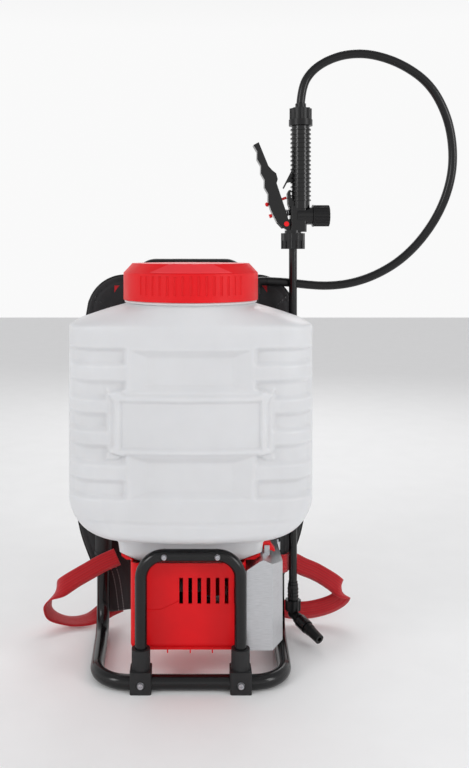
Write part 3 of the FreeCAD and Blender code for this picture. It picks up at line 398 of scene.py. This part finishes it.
def tank_plan():
    """Points round the tank at full size, each with its outward direction."""
    front_r, back_r = 0.048, 0.024
    plan = []

    def arc(cx, cy, radius, start, end, count):
        for step in range(count):
            angle = math.radians(start + (end - start) * step / count)
            out = Vector((math.cos(angle), math.sin(angle), 0))
            plan.append((Vector((cx, cy, 0)) + out * radius, out))

    def line(start, end, count):
        a, b = Vector((*start, 0)), Vector((*end, 0))
        out = (b - a).cross(UP).normalized()
        for step in range(count):
            plan.append((a + (b - a) * step / count, out))

    arc(HALF - front_r, FRONT + front_r, front_r, -90, 0, 26)
    line((HALF, FRONT + front_r), (HALF, BACK - back_r), 22)
    arc(HALF - back_r, BACK - back_r, back_r, 0, 90, 14)
    line((HALF - back_r, BACK), (-HALF + back_r, BACK), 50)
    arc(-HALF + back_r, BACK - back_r, back_r, 90, 180, 14)
    line((-HALF, BACK - back_r), (-HALF, FRONT + front_r), 22)
    arc(-HALF + front_r, FRONT + front_r, front_r, 180, 270, 26)
    flat = HALF - front_r
    for step in range(150):
        x = -flat + 2 * flat * step / 150
        bow = BULGE * (1 - (x / flat) ** 2)
        plan.append((Vector((x, FRONT - bow, 0)), Vector((x * 0.12, -1, 0)).normalized()))
    return plan


def soft_step(value, low, high):
    share = max(0.0, min(1.0, (value - low) / (high - low)))
    return share * share * (3 - 2 * share)


def bevelled(x, z, half_width, side_slope, low, high, rise):
    """1 on the flat floor of a pocket, falling in straight facets to 0 at its rim."""
    across = (half_width + side_slope - abs(x)) / side_slope
    upright = min(z - low + rise, high + rise - z) / rise
    return max(0.0, min(1.0, across, upright))


def horn_frame(x, z):
    """The raised frame, which spreads into a horn at each corner."""
    x = abs(x)
    spread = soft_step(abs(z - 0.3485), 0.027, 0.042)
    lift = 0.008 * soft_step(x, 0.082, 0.098)
    reach = min(0.386 + lift - z, z - 0.310 + lift, 0.0985 + 0.010 * spread - x)
    return soft_step(reach, -0.001, 0.0026)


def front_relief(x, z):
    """Two bevelled pockets above and below a raised frame with a sunk panel, and a low seam."""
    relief = -0.0062 * bevelled(x, z, 0.0545, 0.024, 0.3990, 0.4345, 0.0095)
    relief -= 0.0062 * bevelled(x, z, 0.0545, 0.024, 0.2615, 0.2995, 0.0085)
    relief += 0.0030 * horn_frame(x, z)
    relief -= 0.0034 * bevelled(x, z, 0.0885, 0.003, 0.3185, 0.3765, 0.003)
    return relief - 0.0011 * math.exp(-((z - 0.2215) / 0.0025) ** 2)


def side_relief(x, y, z):
    """Raised bars in the sunk panels round the front corners."""
    x = abs(x)
    bars = ((0.4140, 0.0112, 0.080), (0.3710, 0.0104, 0.103),
            (0.3300, 0.0104, 0.103), (0.2860, 0.0112, 0.080))
    middle = soft_step(0.0405 - abs(z - 0.3505), -0.004, 0.004)
    edge = 0.080 + 0.023 * middle
    panel = soft_step(x, edge, edge + 0.007)
    height = 0.0
    for centre, wide, end in bars:
        across = soft_step(wide - abs(z - centre), -0.0042, 0.0042)
        height += across * soft_step(x, end - 0.004, end + 0.006)
    behind = 1 - soft_step(y, FRONT + 0.024, FRONT + 0.044)
    return behind * panel * (0.0050 * min(1.0, height) - 0.0058)


def body_inset(z):
    """How far the plan draws in at height z, for the round edge of the base."""
    if z < BOTTOM + BASE_EDGE:
        depth = (BOTTOM + BASE_EDGE - z) / BASE_EDGE
        return BASE_EDGE * (1 - math.sqrt(max(0.0, 1 - depth * depth)))
    return 0.0


def corner_pull(x, z):
    """Large round lower corners seen from the front."""
    if z > BOTTOM + CORNER:
        return x
    drop = min(1.0, (BOTTOM + CORNER - z) / CORNER)
    limit = HALF - CORNER + CORNER * math.sqrt(max(0.0, 1 - drop * drop))
    return x * limit / HALF


def tank_skin():
    plan = tank_plan()
    lowest = BOTTOM + 0.0003
    heights = [lowest + BASE_EDGE * (step / 8) ** 1.6 for step in range(8)]
    heights += [lowest + BASE_EDGE + (EDGE - 0.006 - lowest - BASE_EDGE) * step / WALL_ROWS
                for step in range(WALL_ROWS + 1)]
    rings = [[Vector((point.x * 0.5, point.y * 0.6, lowest)) for point, _ in plan]]
    for z in heights:
        pull = body_inset(z)
        loop = []
        for point, out in plan:
            fade = soft_step(z, 0.2500, 0.2570) * (1 - soft_step(z, 0.4410, 0.4480))
            on_front = soft_step(-point.y, 0.095, 0.104)
            relief = on_front * front_relief(point.x, z) + side_relief(point.x, point.y, z) * fade
            place = point + out * (relief - pull)
            loop.append(Vector((corner_pull(place.x, z), place.y, z)))
        rings.append(loop)
    for share, z in ((0.006, EDGE - 0.0025), (0.022, EDGE - 0.0004), (0.06, EDGE + 0.0014),
                     (0.2, 0.4795), (0.4, 0.4855), (0.6, 0.4908), (0.8, 0.4955), (0.93, 0.4985),
                     (1.0, 0.5006)):
        rings.append([shoulder_point(point, share, z) for point, _ in plan])
    for radius, z in ((0.0905, 0.5010), (0.0910, 0.5030), (0.0900, 0.5042), (0.084, 0.5044),
                      (0.084, 0.541), (0.080, 0.541), (0.080, 0.49)):
        rings.append([neck_point(point, radius, z) for point, _ in plan])
    return loft("tank_skin", rings, caps=False)


def shoulder_point(point, share, z):
    """Part of the way from the tank's top edge to the root of its neck."""
    root = neck_point(point, 0.085, 0.0)
    flat = Vector((point.x, point.y, 0)).lerp(Vector((root.x, root.y, 0)), share)
    return Vector((flat.x, flat.y, z))


def neck_point(point, radius, z):
    angle = math.atan2(point.y - LID_Y, point.x)
    return Vector((math.cos(angle) * radius, LID_Y + math.sin(angle) * radius, z))


def sump_skin():
    """The white sump under the tank, drawn in towards the red saddle."""
    rings = []
    for x0, x1, y0, y1, z in (
            (-0.112, 0.112, -0.076, 0.056, 0.198), (-0.103, 0.103, -0.068, 0.052, 0.190),
            (-0.097, 0.097, -0.065, 0.050, 0.180), (-0.0955, 0.0955, -0.0642, 0.050, 0.168),
            (-0.090, 0.088, -0.063, 0.048, 0.1648), (-0.067, 0.061, -0.058, 0.040, 0.1525)):
        rings.append(rounded_rectangle(x0, x1, y0, y1, 0.011, z))
    return loft("tank_sump", rings[::-1])


def rounded_rectangle(x0, x1, y0, y1, radius, z, steps=8):
    loop = []
    for cx, cy, start in ((x1 - radius, y1 - radius, 0), (x0 + radius, y1 - radius, 90),
                          (x0 + radius, y0 + radius, 180), (x1 - radius, y0 + radius, 270)):
        for step in range(steps + 1):
            angle = math.radians(start + 90 * step / steps)
            loop.append(Vector((cx + radius * math.cos(angle), cy + radius * math.sin(angle), z)))
    return loop


def lid_wedge():
    """The raised facet on the front of the lid's bevel, in a paler red as a painted highlight where it
    catches the light.
    """
    rings = []
    for lift in (0.0, 0.0007):
        for step in range(7) if lift else range(6, -1, -1):
            share = step / 6
            radius = 0.0918 - 0.0112 * share + lift
            spread = math.radians(36 - 15.5 * share)
            loop = []
            for column in range(25):
                angle = -math.pi / 2 + spread * (column / 12 - 1)
                loop.append(Vector((math.cos(angle) * radius, LID_Y + math.sin(angle) * radius,
                                    0.5418 + 0.0114 * share + lift * 0.7)))
            rings.append(loop)
    return loft("lid_wedge", rings, closed=False, caps=False)


def build_tank():
    # the lid facet gets the paler red, a painted highlight, over its real raised shape
    finish_piece(lid_wedge(), "red_painted_highlight", body="screw_lid")
    skin = finish_piece(tank_skin(), "tank_white", replaces=["tank"])
    finish_piece(sump_skin(), "tank_white")
    return skin


# ---------------------------------------------------------------- harness

def strap_stations(side):
    """Over the shoulder as a fan, then down the back and in to the tail."""
    stations = []
    for angle in (95, 80, 65, 50, 35, 20, 8):
        across = (math.cos(math.radians(angle)), 0, math.sin(math.radians(angle)))
        stations.append(((100 + across[0] * 31, 104, 476 + across[2] * 31), across))
    for x, y, z, lean in ((137, 104, 440, 0), (140, 104, 390, 0), (143, 104, 320, 0), (147, 104, 240, 0),
                          (148, 104, 190, 0), (142, 103, 150, -0.3), (128, 100, 112, -0.35),
                          (113, 98, 78, -0.3), (105, 97, 26, -0.1)):
        stations.append(((x, y, z), (1, 0, lean)))
    return [((side * at[0] / 1000, at[1] / 1000, at[2] / 1000), (side * to[0], 0, to[2]))
            for at, to in stations]


def pad_profile(width, thick, steps=14):
    """A crowned pad pinched along two seams and thin at its bound edges."""
    half = width / 2
    top = []
    for step in range(steps + 1):
        x = -half + width * step / steps
        crown = thick / 2 * (1 - abs(x / half) ** 5) ** 0.5
        pinch = math.exp(-((abs(x) - half * 0.72) / (half * 0.07)) ** 2)
        top.append((x, max(0.0011, crown * (1 - 0.45 * pinch))))
    under = [(x, -y) for x, y in top[::-1]]
    return top + under


def stitch_row(name, frames, offset, lift, length=0.0028, gap=0.0045):
    """A row of short thread stitches beside a seam."""
    stitches = []
    target = frames[0][3] + 0.004
    for (centre, across, out, travelled), after in zip(frames, frames[1:]):
        while target < after[3]:
            share = (target - travelled) / max(1e-6, after[3] - travelled)
            spot = centre.lerp(after[0], share) + across * offset + out * lift
            along = (after[0] - centre).normalized() * (length / 2)
            stitches.append(tube_curve("stitch", [spot - along, spot, spot + along], 0.00035))
            target += gap
    return join(name, stitches)


def build_straps():
    for label, side in (("left", -1), ("right", 1)):
        frames = path_frames(strap_stations(side), 10)
        uneven = random.Random(5)
        body = strip("strap_pad_" + label, frames, pad_profile(0.053, 0.0096))
        for vertex in body.data.vertices:
            vertex.co += Vector([uneven.uniform(-1, 1) for _ in range(3)]) * 0.00012
        finish_piece(body, "pad_black" if side < 0 else "mesh_black",
                     replaces=["shoulder_strap_" + label])
        bindings = []
        for edge in (-1, 1):
            line = [centre + across * edge * 0.0258 for centre, across, _, _ in frames]
            bindings.append(tube_curve("binding", line, 0.0021))
        finish_piece(join("strap_binding_" + label, bindings), "satin_black")
        rows = []
        for offset in (-0.0192, 0.0192):
            for face in (-1, 1):
                rows.append(stitch_row("row", frames, offset, face * 0.0036, gap=0.006))
        finish_piece(join("strap_stitches_" + label, rows), "satin_black")
        tail = frames[-22:]
        rows = [stitch_row("row", tail, offset, face * 0.0047, 0.002, 0.0042)
                for offset in (-0.004, 0.004) for face in (-1, 1)]
        finish_piece(join("strap_tail_stitches_" + label, rows), "thread_white")


def build_back_pad():
    """Padded back rest: crowned, with three sewn channels across it."""
    x0, x1, z0, z1 = -0.092, 0.092, 0.268, 0.420
    seams = (0.306, 0.344, 0.382)
    middle_y = 0.1045
    columns, rows = 48, 44
    rings = []
    for face in (1, -1):
        for row in range(rows + 1):
            z = z0 + (z1 - z0) * row / rows
            loop = []
            for column in range(columns + 1):
                x = x0 + (x1 - x0) * column / columns
                u, v = abs(2 * column / columns - 1), abs(2 * row / rows - 1)
                crown = ((1 - u ** 6) * (1 - v ** 6)) ** 0.5
                channel = sum(math.exp(-((z - seam) / 0.0022) ** 2) for seam in seams)
                if face > 0:
                    swell = 0.0085 * crown * (1 - 0.45 * min(1, channel))
                else:
                    swell = -0.0062 * crown ** 0.3
                draw = 1 - 0.012 * v ** 2
                loop.append(Vector((x * draw, middle_y + swell, z)))
            rings.append(loop)
    front = loft("back_pad_face", rings[:rows + 1], closed=False, caps=False)
    rear = loft("back_pad_rear", rings[rows + 1:], closed=False, caps=False)
    pad = join("back_pad_cushion", [front, rear])
    finish_piece(pad, "mesh_black", replaces=["back_pad"])
    inner = x1 - 0.001
    outline = [Vector((-inner, middle_y, z0)), Vector((inner, middle_y, z0)),
               Vector((inner, middle_y, z1)), Vector((-inner, middle_y, z1))]
    finish_piece(tube_curve("back_pad_piping", outline, 0.0022, True), "satin_black")


LEFT_LOOP = [
    ((-109, 66, 117), (0.4, 0, 0.9)), ((-130, 65, 108), (0.4, 0, 0.9)), ((-152, 64, 96), (0.45, 0, 0.9)),
    ((-176, 64, 82), (0.5, 0, 0.85)), ((-194, 65, 69), (0.5, 0.2, 0.85)),
    ((-207, 69, 55), (0.55, 0.6, 0.5)),
    ((-213, 75, 42), (0.3, 1, 0.1)), ((-211, 82, 27), (0.2, 1, 0)), ((-199, 90, 15), (0.1, 1, 0)),
    ((-180, 96, 8), (0, 1, 0.1)), ((-158, 100, 9), (0, 1, 0.3)), ((-140, 103, 16), (0, 0.7, 0.7)),
    ((-126, 104.2, 24), (-0.2, 0.1, 1)), ((-108, 104.2, 32), (-0.2, 0, 1))]
RIGHT_LOOP = [
    ((125, 65.4, 107), (0, 0, 1)), ((137.5, 65.5, 107), (0, 0, 1)), ((143, 70.3, 106.5), (0, 0, 1)),
    ((144.9, 76, 106), (0, 0, 1)), ((148.5, 84, 104), (0, 0, 1)), ((158, 91, 99), (-0.2, 0, 1)),
    ((170, 94, 92), (-0.3, 0, 1)), ((190, 96, 83), (-0.4, 0, 1)), ((212, 96, 70), (-0.5, 0, 1)),
    ((226, 98, 58), (-0.5, -0.1, 1)), ((231.5, 104, 46), (-0.35, -0.2, 1)),
    ((224, 109, 34), (-0.2, -0.1, 1)),
    ((205, 110, 25), (-0.1, 0, 1)), ((180, 109, 20), (0, 0, 1)), ((155, 106, 21), (0, 0, 1)),
    ((134, 104.2, 26), (0, 0, 1)), ((112, 104.2, 32), (0, 0, 1))]


def build_webbing():
    for label, stations in (("left", LEFT_LOOP), ("right", RIGHT_LOOP)):
        metres = [(tuple(value / 1000 for value in centre), across) for centre, across in stations]
        frames = path_frames(metres, 10)
        half, thin = 0.0133, 0.0007
        profile = [(-half, -thin), (-half * 0.5, -thin), (0, -thin), (half * 0.5, -thin), (half, -thin),
                   (half, thin), (half * 0.5, thin), (0, thin), (-half * 0.5, thin), (-half, thin)]
        web = strip("webbing_" + label, frames, profile)
        finish_piece(web, "webbing_red", replaces=["webbing_loop_" + label])


# ---------------------------------------------------------------- hose

HOSE = [(0.1143, 0.084, 0.525), (0.140, 0.0847, 0.5242), (0.171, 0.0875, 0.520), (0.206, 0.089, 0.5175),
        (0.243, 0.089, 0.5215), (0.281, 0.089, 0.5345), (0.318, 0.088, 0.557), (0.351, 0.086, 0.591),
        (0.378, 0.084, 0.635), (0.393, 0.082, 0.684), (0.3935, 0.080, 0.731), (0.383, 0.0785, 0.777),
        (0.358, 0.077, 0.821), (0.317, 0.076, 0.850), (0.272, 0.075, 0.865), (0.234, 0.074, 0.865),
        (0.203, 0.0735, 0.855), (0.180, 0.073, 0.839), (0.1662, 0.073, 0.8165), (0.164, 0.073, 0.7906)]


def build_hose():
    curve = bpy.data.curves.new("hose_line", "CURVE")
    curve.dimensions = "3D"
    curve.bevel_depth = 0.0065
    curve.bevel_resolution = 6
    curve.resolution_u = 12
    curve.use_fill_caps = True
    spline = curve.splines.new("NURBS")
    spline.points.add(len(HOSE) - 1)
    for target, point in zip(spline.points, HOSE):
        target.co = (*point, 1)
    spline.order_u = 3
    spline.use_endpoint_u = True
    piece = bpy.data.objects.new("spray_hose", curve)
    bpy.context.scene.collection.objects.link(piece)
    curve.materials.append(MATERIALS["hose_black"].material)
    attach(piece, "sprayer")
    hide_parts("hose")


# ---------------------------------------------------------------- valve spring

def build_valve_coil():
    """The plunger's coil spring, built as a fixed coil."""
    turns, steps, pitch, radius = 5.4, 24, 0.0023, 0.0052
    points = []
    for step in range(int(turns * steps) + 1):
        angle = 2 * math.pi * step / steps
        points.append(Vector((0.1341 + pitch * step / steps, 0.073 + radius * math.sin(angle),
                              0.6275 + radius * math.cos(angle))))
    coil = finish_piece(tube_curve("valve_coil", points, 0.00055), "spring_steel",
                        replaces=["valve_spring"])
    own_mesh(coil)


# ---------------------------------------------------------------- studio

def place_camera():
    data = bpy.data.cameras.new("camera")
    data.sensor_width = 36
    data.lens = 39.84
    data.shift_x = 0.057
    data.shift_y = -0.1745
    camera = bpy.data.objects.new("camera", data)
    camera.location = (0, -1.195, 0.572)
    camera.rotation_euler = (math.radians(90), 0, 0)
    bpy.context.scene.collection.objects.link(camera)
    bpy.context.scene.camera = camera


def area_light(name, spot, target, size, power):
    data = bpy.data.lights.new(name, "AREA")
    data.shape = "RECTANGLE"
    data.size, data.size_y = size
    data.energy = power
    light = bpy.data.objects.new(name, data)
    light.location = spot
    aim = Vector(target) - Vector(spot)
    light.rotation_euler = aim.to_track_quat("-Z", "Y").to_euler()
    bpy.context.scene.collection.objects.link(light)


def build_studio():
    floor = mesh_piece("floor", [(-6, -6, 0), (6, -6, 0), (6, 6, 0), (-6, 6, 0)], [(0, 1, 2, 3)], False)
    look = moulded("floor_paper", (0.93, 0.93, 0.93), 0.75, 60, 0.0001, 0.01)
    floor.data.materials.append(look.material)
    world = bpy.data.worlds.new("studio")
    world.use_nodes = True
    sky = world.node_tree.nodes
    coords, split, ramp = (sky.new(kind) for kind in
                           ("ShaderNodeTexCoord", "ShaderNodeSeparateXYZ", "ShaderNodeValToRGB"))
    ramp.color_ramp.elements[0].position = 0.25
    ramp.color_ramp.elements[0].color = (1, 1, 1, 1)
    ramp.color_ramp.elements[1].position = 0.75
    ramp.color_ramp.elements[1].color = (0.55, 0.55, 0.56, 1)
    world.node_tree.links.new(coords.outputs["Generated"], split.inputs["Vector"])
    world.node_tree.links.new(split.outputs["Z"], ramp.inputs["Fac"])
    world.node_tree.links.new(ramp.outputs["Color"], sky["Background"].inputs["Color"])
    sky["Background"].inputs["Strength"].default_value = 0.95
    bpy.context.scene.world = world
    area_light("key", (-1.5, -1.25, 1.25), (0, 0, 0.35), (0.6, 0.8), 9)
    area_light("fill", (1.55, -1.05, 0.95), (0, 0, 0.35), (0.5, 0.9), 8)
    area_light("back", (0.3, 1.8, 1.6), (0, 0, 0.4), (1.4, 1.0), 10)
    bpy.context.scene.view_settings.view_transform = "Standard"


place_camera()
dress_nodes()
build_hose()
build_tank()
build_straps()
build_back_pad()
build_webbing()
build_valve_coil()
build_studio()
